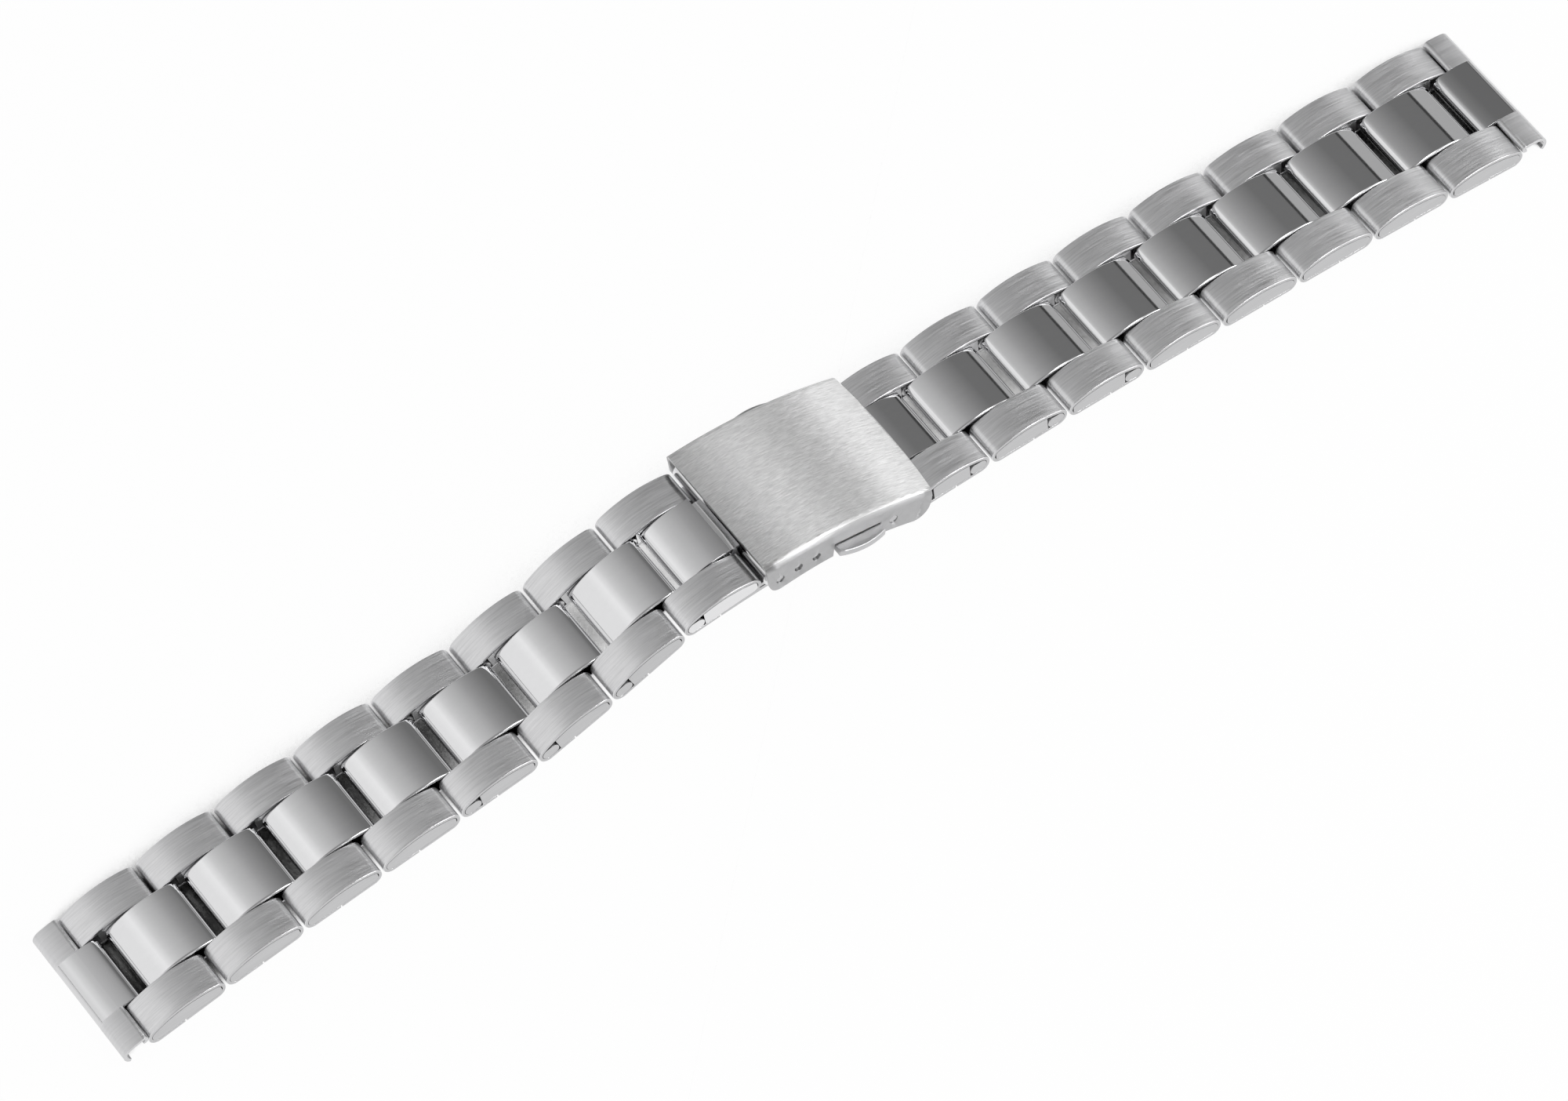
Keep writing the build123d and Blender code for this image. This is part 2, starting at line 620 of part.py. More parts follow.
def strap_nodes(side):
    """Return the pieces of one half of the strap by node name."""
    frames = half_frames(side)
    nodes = {side + "_end_plate": placed(end_plate(), frames["plate"], side)}
    for pair in range(1, PAIR_COUNT + 1):
        name = side + "_" + str(pair)
        nodes[name + "_outer_links"] = placed(outer_links(pair), frames[pair], side)
        nodes[name + "_centre_link"] = placed(centre_link(pair, side), frames[pair], side)
        nodes[name + "_core_and_pin"] = placed(core_and_pin(pair, side), frames[pair], side)
    return nodes


def main():
    """Build every node, stand the bracelet on the table and write the files."""
    os.makedirs("parts", exist_ok=True)
    nodes = {**clasp_nodes(), **strap_nodes("left"), **strap_nodes("right")}
    box = Compound(children=[solid for shape in nodes.values() for solid in shape.solids()]).bounding_box()
    shift = Pos(-(box.min.X + box.max.X) / 2, -(box.min.Y + box.max.Y) / 2, -box.min.Z)
    for name, shape in nodes.items():
        moved = [shift * solid for solid in shape.solids()]
        result = moved[0] if len(moved) == 1 else Compound(children=moved)
        export_step(result, "parts/" + name + ".step")
    print("shift", tuple(shift.position))


main()
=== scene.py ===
"""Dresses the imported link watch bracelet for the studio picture."""
from __future__ import annotations

import json
import logging
import math
from dataclasses import dataclass, field
from enum import Enum
from typing import Any, Callable

import bmesh
import bpy
from mathutils import Matrix, Vector

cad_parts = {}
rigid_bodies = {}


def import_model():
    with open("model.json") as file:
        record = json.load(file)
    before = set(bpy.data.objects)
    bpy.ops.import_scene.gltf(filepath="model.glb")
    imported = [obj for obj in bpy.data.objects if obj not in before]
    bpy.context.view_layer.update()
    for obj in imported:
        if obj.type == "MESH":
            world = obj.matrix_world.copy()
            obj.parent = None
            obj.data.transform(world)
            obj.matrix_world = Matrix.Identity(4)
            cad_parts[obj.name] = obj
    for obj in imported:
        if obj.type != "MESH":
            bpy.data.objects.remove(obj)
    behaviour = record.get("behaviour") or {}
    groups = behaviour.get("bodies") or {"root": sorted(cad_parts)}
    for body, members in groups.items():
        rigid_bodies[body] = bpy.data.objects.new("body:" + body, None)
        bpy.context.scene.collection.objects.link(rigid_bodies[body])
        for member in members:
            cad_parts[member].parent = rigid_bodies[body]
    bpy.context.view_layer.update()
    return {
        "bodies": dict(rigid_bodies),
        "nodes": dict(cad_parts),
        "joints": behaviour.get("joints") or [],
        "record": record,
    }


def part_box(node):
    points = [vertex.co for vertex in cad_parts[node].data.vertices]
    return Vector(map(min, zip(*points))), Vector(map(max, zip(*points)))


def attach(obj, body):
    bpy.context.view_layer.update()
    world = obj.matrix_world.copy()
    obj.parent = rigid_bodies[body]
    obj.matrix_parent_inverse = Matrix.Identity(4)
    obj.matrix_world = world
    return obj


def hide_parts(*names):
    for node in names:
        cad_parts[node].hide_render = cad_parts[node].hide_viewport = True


LOG = logging.getLogger("bracelet")
MM = 0.001
PAIRS = range(1, 9)
WHITE = "#ffffff"
# The curve that stores light as sRGB: a straight toe, then a power.
SRGB_TOE, SRGB_TOE_SLOPE, SRGB_OFFSET, SRGB_POWER = 0.04045, 12.92, 0.055, 2.4
# Where a colour ramp's new stops start before they take their places.
NEW_STOP = 0.5
# The part of the noise's range that the marks of a finish use, and its middle.
GRAIN_BAND = (0.3, 0.7)
GRAIN_MIDDLE = 0.5
GRAIN_DETAIL = 3.0
GRAIN_ROUGHNESS = 0.65
LEAST_ROUGHNESS = 0.02
# Points closer than this are one point, and a face this near a spot is the face meant.
WELD_MM = 0.002
SAME_SPOT_MM = 0.01
# A face turned this far to an axis faces along it.
FACING_SIDE = 0.9
FACING_END = 0.99
# Edges sharper than the first angle are rounded, and shading breaks at those sharper than the second.
ROUNDED_FROM = math.radians(50)
SPLIT_FROM = math.radians(35)
EDGE_SEGMENTS = 2
FLAT_WEIGHT = 50
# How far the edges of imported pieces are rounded.
NODE_EDGE_MM = 0.06
# How far in from its widest the cover still has its skirts' painted shade, a plain darker colour.
COVER_SKIRT_MM = 0.3

Tree = bpy.types.NodeTree
Node = bpy.types.Node
Socket = bpy.types.NodeSocket
Piece = bpy.types.Object
Tones = tuple[tuple[float, str], ...]
Span = tuple[float, float]
Keep = Callable[[Vector, Vector], bool]
Turn = tuple[Vector, float, int]


class Side(Enum):
    """The two halves of the strap."""

    LEFT = "left"
    RIGHT = "right"


class Lay(Enum):
    """Which way the marks of a finish run."""

    LENGTHWISE = "lengthwise"
    EVEN = "even"


class Blend(Enum):
    """What a mix node blends: its data type and the numbers of its two inputs and its output."""

    VALUE = ("FLOAT", 2, 3, 0)
    COLOUR = ("RGBA", 6, 7, 2)


def linear(colour: str) -> tuple[float, float, float, float]:
    """Turn an sRGB hex colour to linear light.

    Args:
        colour: Hex colour such as "#8f8f90".

    Returns:
        Linear red, green, blue and an alpha of one.
    """
    parts = [int(colour[i : i + 2], 16) / 255 for i in (1, 3, 5)]
    lit = [
        p / SRGB_TOE_SLOPE if p <= SRGB_TOE else ((p + SRGB_OFFSET) / (1 + SRGB_OFFSET)) ** SRGB_POWER
        for p in parts
    ]
    return (lit[0], lit[1], lit[2], 1.0)


def add_node(
    tree: Tree, kind: str, settings: dict[Any, Any] | None = None, links: dict[Any, Socket] | None = None
) -> Node:
    """Add a node with its settings and its incoming links.

    Args:
        tree: The node tree.
        kind: The node's type name.
        settings: Attributes, or values under a socket's name or number; "stops" fills a colour ramp.
        links: Incoming sockets by the name or number of the socket they feed.

    Returns:
        The new node.
    """
    node = tree.nodes.new(kind)
    for key, value in (settings or {}).items():
        if key == "stops":
            bar = node.color_ramp
            while len(bar.elements) < len(value):
                bar.elements.new(NEW_STOP)
            for element, (spot, colour) in zip(bar.elements, value):
                element.position = spot
                element.color = linear(colour)
        elif isinstance(key, int) or key in node.inputs:
            node.inputs[key].default_value = value
        else:
            setattr(node, key, value)
    for key, source in (links or {}).items():
        tree.links.new(source, node.inputs[key])
    return node


def add_mixed(tree: Tree, kind: str, settings: dict[str, Any], terms: dict[int, Any]) -> Node:
    """Add a node whose numbered inputs are sockets or plain values.

    Args:
        tree: The node tree.
        kind: The node's type name.
        settings: Its attributes.
        terms: Sockets or plain values by the number of the input they feed.

    Returns:
        The new node.
    """
    linked = {key: term for key, term in terms.items() if isinstance(term, Socket)}
    plain = {key: term for key, term in terms.items() if key not in linked}
    return add_node(tree, kind, {**settings, **plain}, linked)


def maths(tree: Tree, operation: str, *terms: Socket | float) -> Socket:
    """Work out one operation.

    Args:
        tree: The node tree.
        operation: The operation's name.
        *terms: Its terms in order.

    Returns:
        The result's socket.
    """
    return add_mixed(tree, "ShaderNodeMath", {"operation": operation}, dict(enumerate(terms))).outputs[0]


def blend(tree: Tree, kind: Blend, share: Socket, first: Any, second: Any) -> Socket:
    """Blend two values or colours.

    Args:
        tree: The node tree.
        kind: What is blended.
        share: The second one's share.
        first: A socket or a plain value.
        second: A socket or a plain value.

    Returns:
        The result's socket.
    """
    data_type, first_input, second_input, output = kind.value
    terms = {0: share, first_input: first, second_input: second}
    return add_mixed(tree, "ShaderNodeMix", {"data_type": data_type}, terms).outputs[output]


def remap(
    tree: Tree, value: Socket, source: Span, target: Span = (0.0, 1.0), smooth: bool = False
) -> Socket:
    """Carry a value from one span to another and hold it there.

    Args:
        tree: The node tree.
        value: The value.
        source: The span it comes from.
        target: The span it goes to.
        smooth: Whether it starts and stops softly.

    Returns:
        The result's socket.
    """
    settings = {
        "From Min": source[0], "From Max": source[1], "To Min": target[0], "To Max": target[1],
        "interpolation_type": "SMOOTHSTEP" if smooth else "LINEAR",
    }
    return add_node(tree, "ShaderNodeMapRange", settings, {"Value": value}).outputs["Result"]


def draw_tones(tree: Tree, spot: Socket, tones: Tones, unit: float) -> Socket:
    """Draw a run of tones along one direction.

    Args:
        tree: The node tree.
        spot: The coordinate along which they run.
        tones: Pairs of place and sRGB tone, in order.
        unit: What one unit of place is in the coordinate.

    Returns:
        The tone's socket.
    """
    low, high = tones[0][0], tones[-1][0]
    stops = [((place - low) / (high - low), tone) for place, tone in tones]
    level = remap(tree, spot, (low * unit, high * unit))
    return add_node(tree, "ShaderNodeValToRGB", {"stops": stops}, {"Fac": level}).outputs["Color"]


def empty_material(name: str) -> bpy.types.Material:
    """Make a material with an empty node tree.

    Args:
        name: The material's name.

    Returns:
        The material.
    """
    made = bpy.data.materials.new(name)
    made.use_nodes = True
    made.node_tree.nodes.clear()
    return made


@dataclass(frozen=True)
class SteelFinish:
    """Stainless steel with one surface treatment, and a polished middle, or skirts with painted shade, if it
    has them.

    Attributes:
        name: The material's name.
        colour: The steel's sRGB colour.
        roughness: Its roughness between the marks' extremes.
        lay: Which way the marks run.
        spread: How far the gloss is drawn out across the strap, from 0 to 1.
        line_mm: Width of a mark.
        run_mm: Length of a mark that runs lengthwise.
        depth_mm: Depth of the marks.
        roughness_swing: How far the roughness varies with the marks.
        tone_swing: Share by which the colour varies with the marks.
        polished_half_mm: Half the width of the polished middle, or 0 without one.
        polished_roughness: The polished middle's roughness.
        skirt_from_mm: Where the skirts begin, from the middle, or 0 without skirts.
        shaded_skirt_colour: The skirts' sRGB colour, darker than the steel's: painted shade on the cover's
            sides.
    """

    name: str
    colour: str
    roughness: float
    lay: Lay = Lay.EVEN
    spread: float = 0.0
    line_mm: float = 0.2
    run_mm: float = 9.0
    depth_mm: float = 0.0
    roughness_swing: float = 0.03
    tone_swing: float = 0.04
    polished_half_mm: float = 0.0
    polished_roughness: float = 0.09
    skirt_from_mm: float = 0.0
    # Painted shade: the skirts' darker colour stands in for the shade on the cover's sides.
    shaded_skirt_colour: str = "#bcbcbd"

    def material(self) -> bpy.types.Material:
        """Return the finish as a material, made on first use."""
        found = bpy.data.materials.get(self.name)
        if found:
            return found
        made = empty_material(self.name)
        tree = made.node_tree
        shader = add_node(tree, "ShaderNodeBsdfPrincipled",
                          {"Metallic": 1.0, "Roughness": self.roughness, "Anisotropic": self.spread})
        add_node(tree, "ShaderNodeOutputMaterial", {}, {"Surface": shader.outputs["BSDF"]})
        place = add_node(tree, "ShaderNodeTexCoord")
        grain = self._grain(tree, place)
        marks = grain
        if self.polished_half_mm:
            outside = self._beyond(tree, place, self.polished_half_mm)
            marks = blend(tree, Blend.VALUE, outside, GRAIN_MIDDLE, grain)
        self._tone(tree, shader, marks, place)
        self._gloss(tree, shader, grain, place)
        if self.depth_mm:
            bump = add_node(tree, "ShaderNodeBump", {"Strength": 1.0, "Distance": self.depth_mm * MM},
                            {"Height": marks})
            tree.links.new(bump.outputs["Normal"], shader.inputs["Normal"])
        if self.spread:
            # Brush lines run along the strap, so the gloss spreads across it, along Y at every pose.
            across_strap = add_node(tree, "ShaderNodeCombineXYZ", {"Y": 1.0})
            tree.links.new(across_strap.outputs[0], shader.inputs["Tangent"])
        return made

    def _grain(self, tree: Tree, place: Node) -> Socket:
        """Draw the marks: noise stretched along the strap, or even in every direction.

        Args:
            tree: The material's node tree.
            place: The coordinates.

        Returns:
            The noise's socket.
        """
        across = 1 / (self.line_mm * MM)
        along = 1 / (self.run_mm * MM)
        scale = (along, across, along if self.lay is Lay.LENGTHWISE else across)
        lines = add_node(tree, "ShaderNodeMapping", {"Scale": scale}, {"Vector": place.outputs["Object"]})
        noise = add_node(tree, "ShaderNodeTexNoise",
                         {"Scale": 1.0, "Detail": GRAIN_DETAIL, "Roughness": GRAIN_ROUGHNESS},
                         {"Vector": lines.outputs["Vector"]})
        return noise.outputs[0]

    def _beyond(self, tree: Tree, place: Node, half_mm: float) -> Socket:
        """Return a mask that is one further than a distance from the strap's middle plane.

        Args:
            tree: The material's node tree.
            place: The coordinates.
            half_mm: The distance.

        Returns:
            The mask's socket.
        """
        split = add_node(tree, "ShaderNodeSeparateXYZ", {}, {0: place.outputs["Object"]})
        return maths(tree, "GREATER_THAN", maths(tree, "ABSOLUTE", split.outputs["Y"]), half_mm * MM)

    def _tone(self, tree: Tree, shader: Node, marks: Socket, place: Node) -> None:
        """Vary the colour a little with the marks, and give the skirts a plain darker colour, which is
        painted shade.

        Args:
            tree: The material's node tree.
            shader: The surface shader.
            marks: The noise that draws the marks.
            place: The coordinates.
        """
        base = Vector(linear(self.colour)[:3])
        ramp = add_node(tree, "ShaderNodeValToRGB", {}, {"Fac": marks})
        shares = (1 - self.tone_swing, 1 + self.tone_swing)
        for element, spot, share in zip(ramp.color_ramp.elements, GRAIN_BAND, shares):
            element.position = spot
            element.color = (*(base * share), 1)
        colour = ramp.outputs["Color"]
        # Painted shade: the skirts get a plain darker colour in place of the steel's own.
        if self.skirt_from_mm:
            skirt_shade_mask = self._beyond(tree, place, self.skirt_from_mm)
            colour = blend(tree, Blend.COLOUR, skirt_shade_mask, colour, linear(self.shaded_skirt_colour))
        tree.links.new(colour, shader.inputs["Base Color"])

    def _gloss(self, tree: Tree, shader: Node, grain: Socket, place: Node) -> None:
        """Vary the roughness with the marks, and lower it on a polished middle.

        Args:
            tree: The material's node tree.
            shader: The surface shader.
            grain: The noise that draws the marks.
            place: The coordinates.
        """
        smoothest = max(LEAST_ROUGHNESS, self.roughness - self.roughness_swing)
        rough = remap(tree, grain, GRAIN_BAND, (smoothest, self.roughness + self.roughness_swing))
        if self.polished_half_mm:
            outside = self._beyond(tree, place, self.polished_half_mm)
            rough = blend(tree, Blend.VALUE, outside, self.polished_roughness, rough)
        tree.links.new(rough, shader.inputs["Roughness"])


# Stainless steel drawn along a grinding belt: streaks along the strap, and a gloss that spreads across it.
BRUSHED_LINK = SteelFinish(
    "steel_belt_brushed", "#dededf", 0.36, Lay.LENGTHWISE, spread=0.7, line_mm=0.2, run_mm=4.0,
    depth_mm=0.022, roughness_swing=0.06, tone_swing=0.13,
)
# Stainless steel buffed on a mop: a clear mirror, its sharpness varying faintly from spot to spot.
POLISHED_LINK = SteelFinish(
    "steel_mop_polished", "#e2e2e3", 0.07, line_mm=0.5, roughness_swing=0.015, tone_swing=0.01,
)
# Stainless steel as stamped and tumbled: an even soft gloss on the cut faces and hidden parts.
TUMBLED_EDGE = SteelFinish(
    "steel_tumbled", "#c4c4c5", 0.34, line_mm=0.15, depth_mm=0.004, roughness_swing=0.05, tone_swing=0.05,
)
# Stainless steel turned from rod: a plain gloss, a little sharper than that of the tumbled steel.
TURNED_PIN = SteelFinish(
    "steel_turned_rod", "#c0c0c1", 0.25, line_mm=0.3, roughness_swing=0.04, tone_swing=0.03,
)


def cover_finish(skirt_from_mm: float) -> SteelFinish:
    """Return the cover's finish: brushed with a short stroke, a sparkling grain, over skirts painted a plain
    darker colour as shade.

    Args:
        skirt_from_mm: How far from the middle the skirts begin.

    Returns:
        The finish.
    """
    return SteelFinish(
        "steel_short_stroke_brushed_with_painted_skirt_shade", "#e0e0e0", 0.38, Lay.LENGTHWISE, spread=0.98, line_mm=0.16, run_mm=1.2,
        depth_mm=0.03, roughness_swing=0.05, tone_swing=0.14, skirt_from_mm=skirt_from_mm,
    )


def plate_finish(half_mm: float) -> SteelFinish:
    """Return the end plate's finish: a buffed middle between belt brushed squares.

    Args:
        half_mm: Half the width of the buffed middle.

    Returns:
        The finish.
    """
    return SteelFinish(
        "steel_brushed_with_buffed_middle", "#d6d6d7", 0.4, Lay.LENGTHWISE, spread=0.6, line_mm=0.2,
        run_mm=12.0, depth_mm=0.006, roughness_swing=0.05, tone_swing=0.06, polished_half_mm=half_mm,
    )


@dataclass(frozen=True)
class StudioCamera:
    """The camera, with the place, turn and lens that were fitted to the photograph.

    Attributes:
        azimuth: Turn about the upright axis in degrees.
        elevation: How far the camera looks down, in degrees.
        roll: Turn about the line of sight in degrees.
        focal_px: Focal length in pixels of the photograph.
        picture_px: The photograph's width in pixels.
        sensor_mm: Width of the sensor that Blender is told of.
        distance_mm: Distance from the target.
        target_mm: The point in the middle of the picture.
        nearest_mm: Nothing closer is drawn.
    """

    azimuth: float = -26.283
    elevation: float = 57.147
    roll: float = -10.22
    focal_px: float = 12127.9
    picture_px: float = 2000.0
    sensor_mm: float = 36.0
    distance_mm: float = 1000.0
    target_mm: tuple[float, float, float] = (-3.861, -2.673, 5.0)
    nearest_mm: float = 10.0

    def build(self) -> None:
        """Stand the camera where the photographer stood."""
        az, el, roll = (math.radians(v) for v in (self.azimuth, self.elevation, self.roll))
        right = Vector((math.cos(az), math.sin(az), 0))
        ahead = Vector((-math.sin(az) * math.cos(el), math.cos(az) * math.cos(el), -math.sin(el)))
        up = right.cross(ahead)
        tilted_right = math.cos(roll) * right + math.sin(roll) * up
        tilted_up = -math.sin(roll) * right + math.cos(roll) * up
        spot = Vector(self.target_mm) * MM - ahead * self.distance_mm * MM
        data = bpy.data.cameras.new("camera")
        data.sensor_width = self.sensor_mm
        data.lens = self.focal_px / self.picture_px * self.sensor_mm
        data.clip_start = self.nearest_mm * MM
        camera = bpy.data.objects.new("camera", data)
        turn = Matrix((tilted_right, tilted_up, -ahead)).transposed().to_4x4()
        camera.matrix_world = Matrix.Translation(spot) @ turn
        bpy.context.scene.collection.objects.link(camera)
        bpy.context.scene.camera = camera
        bpy.context.scene.view_settings.view_transform = "Standard"


@dataclass(frozen=True)
class Table:
    """The white table, which darkens only in the bracelet's own shade.

    Attributes:
        side_mm: Its side.
        below_mm: How far it lies under the lug ends.
        paper: Tone that it gives back to the light.
        toward_light: The way in which it looks for light. It leans to the front, so the shade falls behind.
        shade_reach_mm: Nothing further off shades it.
        shade_samples: How finely the shade is worked out.
        open_sky: Shares of open sky at which it is darkest and at which it is white.
        glow_share: How white it is to the eye and to mirrors.
    """

    side_mm: float = 6000.0
    below_mm: float = 0.02
    paper: str = "#f2f2f2"
    toward_light: tuple[float, float, float] = (-0.384, -0.777, 0.5)
    shade_reach_mm: float = 40.0
    shade_samples: int = 16
    open_sky: Span = (0.46, 0.6)
    glow_share: float = 0.97

    def build(self) -> None:
        """Lay the table under the bracelet."""
        bpy.ops.object.select_all(action="DESELECT")
        bpy.ops.mesh.primitive_plane_add(size=self.side_mm * MM, location=(0, 0, -self.below_mm * MM))
        table = bpy.context.object
        table.name = "studio_floor"
        made = empty_material("white_table")
        tree = made.node_tree
        paper = add_node(tree, "ShaderNodeBsdfDiffuse", {"Color": linear(self.paper)})
        toward_light = add_node(tree, "ShaderNodeCombineXYZ", dict(zip("XYZ", self.toward_light)))
        shade = add_node(tree, "ShaderNodeAmbientOcclusion",
                         {"samples": self.shade_samples, "Distance": self.shade_reach_mm * MM},
                         {"Normal": toward_light.outputs[0]})
        light = remap(tree, shade.outputs["AO"], self.open_sky, smooth=True)
        glow = add_node(tree, "ShaderNodeEmission", {"Color": linear(WHITE)}, {"Strength": light})
        path = add_node(tree, "ShaderNodeLightPath").outputs
        seen = maths(tree, "MAXIMUM", path["Is Camera Ray"], path["Is Glossy Ray"])
        seen = maths(tree, "MAXIMUM", seen, path["Is Transmission Ray"])
        share = maths(tree, "MULTIPLY", seen, self.glow_share)
        mix = add_node(tree, "ShaderNodeMixShader", {}, {0: share, 1: paper.outputs[0], 2: glow.outputs[0]})
        add_node(tree, "ShaderNodeOutputMaterial", {}, {"Surface": mix.outputs[0]})
        table.data.materials.append(made)


@dataclass(frozen=True)
class Walls:
    """The studio's pale walls.

    Attributes:
        tones: Tones from the left, at -1, to the right, at 1.
        lit_toward_right: Where the light at the front right sets in, seen along X.
        lit_toward_front: Where it sets in, seen along Y.
        side_light: How much brighter it is there.
    """

    tones: Tones = ((-1.0, "#f4f4f4"), (-0.3, "#e0e0e0"), (0.2, "#c0c0c0"), (1.0, "#b4b4b4"))
    lit_toward_right: Span = (0.5, 0.75)
    lit_toward_front: Span = (0.25, -0.1)
    side_light: float = 1.8

    def build(self) -> None:
        """Close the studio with its walls."""
        world = bpy.data.worlds.new("studio")
        bpy.context.scene.world = world
        world.use_nodes = True
        tree = world.node_tree
        tree.nodes.clear()
        place = add_node(tree, "ShaderNodeTexCoord")
        split = add_node(tree, "ShaderNodeSeparateXYZ", {}, {0: place.outputs["Generated"]})
        tone = draw_tones(tree, split.outputs["X"], self.tones, 1.0)
        right = remap(tree, split.outputs["X"], self.lit_toward_right, smooth=True)
        front = remap(tree, split.outputs["Y"], self.lit_toward_front, smooth=True)
        level = remap(tree, maths(tree, "MULTIPLY", right, front), (0.0, 1.0), (1.0, self.side_light))
        back = add_node(tree, "ShaderNodeBackground", {}, {"Color": tone, "Strength": level})
        add_node(tree, "ShaderNodeOutputWorld", {}, {"Surface": back.outputs[0]})


@dataclass(frozen=True)
class SoftPanel:
    """One wide soft panel in a dark frame over the table.

    The polished links mirror its back half. The brushed faces spread their gloss along Y and gather its front
    half too. Each shows the panel at the place along X that suits its slope, so the tones along X set how
    light each part of a link is.

    Attributes:
        height_mm: Height over the table.
        x_mm: Its ends.
        y_mm: Its front and its back.
        frame_mm: Width of the dark frame at its right end and back.
        frame_tone: The frame's tone.
        strength: Brightness of a white tone.
        back_tones: Tones of the back half, by place along X.
        front_tones: Tones of the front half, by place along X.
        back_from_m: Where along Y the front half turns into the back half.
        strip_tones: A bright strip of the front half, which makes the cover's light band.
        strip_from_m: Where along Y the strip fades in.
        strip_strength: What the strip adds to the brightness.
        end_tones: A brighter right end of the front half, which lights the slopes that face right.
        end_strength: What the right end adds to the brightness.
    """

    height_mm: float = 400.0
    x_mm: Span = (-1500.0, 740.0)
    y_mm: Span = (-900.0, 700.0)
    frame_mm: float = 95.0
    frame_tone: str = "#343434"
    strength: float = 1.3
    back_tones: Tones = (
        (-1500, "#dddddd"), (-330, "#dedede"), (-240, "#e6e6e6"), (-213, "#dcdcdc"), (-187, "#d4d4d4"),
        (-162, "#c9c9c9"), (-115, "#bdbdbd"), (-71, "#b4b4b4"), (-28, "#acacac"), (7, "#a3a3a3"),
        (49, "#979797"), (92, "#8d8d8d"), (138, "#848484"), (187, "#7b7b7b"), (240, "#737373"),
        (301, "#6a6a6a"), (740, "#696969"),
    )
    front_tones: Tones = (
        (-1500, "#f0f0f0"), (-313, "#d4d4d4"), (-231, "#b0b0b0"), (-162, "#8f8f8f"), (-100, "#868686"),
        (-42, "#868686"), (14, "#868686"), (130, "#8a8a8a"), (195, "#979797"), (270, "#a1a1a1"),
        (360, "#b6b6b6"), (414, "#cccccc"), (477, "#e5e5e5"), (551, "#f4f4f4"), (740, "#ffffff"),
    )
    back_from_m: Span = (0.06, 0.2)
    strip_tones: Tones = (
        (-1500, "#000000"), (150, "#000000"), (215, "#ffffff"), (265, "#ffffff"), (330, "#000000"),
        (740, "#000000"),
    )
    strip_from_m: Span = (-0.02, -0.3)
    strip_strength: float = 8.0
    end_tones: Tones = (
        (-1500, "#000000"), (420, "#000000"), (500, "#b0b0b0"), (560, "#ffffff"), (740, "#ffffff"),
    )
    end_strength: float = 3.0

    def build(self) -> None:
        """Hang the panel and light it."""
        (left, right), (front, back) = self.x_mm, self.y_mm
        middle = Vector(((left + right) / 2, (front + back) / 2, self.height_mm)) * MM
        bpy.ops.object.select_all(action="DESELECT")
        bpy.ops.mesh.primitive_plane_add(size=MM, location=middle)
        panel = bpy.context.object
        panel.name = "studio_soft_panel"
        bpy.ops.transform.resize(value=(right - left, back - front, 1))
        bpy.ops.object.transform_apply(location=True, rotation=True, scale=True)
        panel.data.materials.append(self._material())
        panel.visible_camera = False
        panel.visible_shadow = False

    def _material(self) -> bpy.types.Material:
        """Make the panel's light, which varies over its face."""
        made = empty_material("soft_panel")
        tree = made.node_tree
        place = add_node(tree, "ShaderNodeTexCoord")
        split = add_node(tree, "ShaderNodeSeparateXYZ", {}, {0: place.outputs["Object"]})
        across, deep = split.outputs["X"], split.outputs["Y"]
        at_back = remap(tree, deep, self.back_from_m, smooth=True)
        at_front = maths(tree, "SUBTRACT", 1.0, at_back)
        tone = blend(tree, Blend.COLOUR, at_back, draw_tones(tree, across, self.front_tones, MM),
                     draw_tones(tree, across, self.back_tones, MM))
        rims = [maths(tree, "GREATER_THAN", spot, (edge - self.frame_mm) * MM)
                for spot, edge in ((across, self.x_mm[1]), (deep, self.y_mm[1]))]
        rim = maths(tree, "MULTIPLY", maths(tree, "MAXIMUM", *rims), at_back)
        framed = blend(tree, Blend.COLOUR, rim, tone, linear(self.frame_tone))
        strip = maths(tree, "MULTIPLY", remap(tree, deep, self.strip_from_m, smooth=True),
                      draw_tones(tree, across, self.strip_tones, MM))
        end = maths(tree, "MULTIPLY", at_front, draw_tones(tree, across, self.end_tones, MM))
        level = maths(tree, "MULTIPLY_ADD", strip, self.strip_strength, self.strength)
        level = maths(tree, "MULTIPLY_ADD", end, self.end_strength, level)
        lit = blend(tree, Blend.COLOUR, strip, framed, linear(WHITE))
        glow = add_node(tree, "ShaderNodeEmission", {}, {"Color": lit, "Strength": level})
        add_node(tree, "ShaderNodeOutputMaterial", {}, {"Surface": glow.outputs[0]})
        return made


def pick(piece: Piece, keep: Keep) -> None:
    """Select the faces of the piece in edit mode that pass a test, and no others.

    Args:
        piece: The mesh object being edited.
        keep: Says from a face's centre and normal whether it is wanted.
    """
    bpy.ops.mesh.select_mode(type="FACE")
    bpy.ops.mesh.select_all(action="DESELECT")
    shape = bmesh.from_edit_mesh(piece.data)
    shape.faces.ensure_lookup_table()
    for face in shape.faces:
        if keep(piece.matrix_world @ face.calc_center_median(), face.normal):
            face.select_set(True)
    shape.select_flush_mode()
    bmesh.update_edit_mesh(piece.data)


def roll_on(piece: Piece, keep: Keep, turns: tuple[Turn, ...]) -> None:
    """Roll a sheet on from some of its end faces through a run of turns.

    Args:
        piece: The sheet in edit mode.
        keep: Says from a face's centre and normal whether the sheet goes on from it.
        turns: The middle, angle and steps of each turn.
    """
    pick(piece, keep)
    for centre, angle, steps in turns:
        bpy.ops.mesh.spin(steps=steps, angle=-angle, center=centre, axis=(0, 1, 0))


def select_only(piece: Piece) -> None:
    """Select one piece and make it the active one.

    Args:
        piece: The piece.
    """
    bpy.ops.object.select_all(action="DESELECT")
    piece.select_set(True)
    bpy.context.view_layer.objects.active = piece


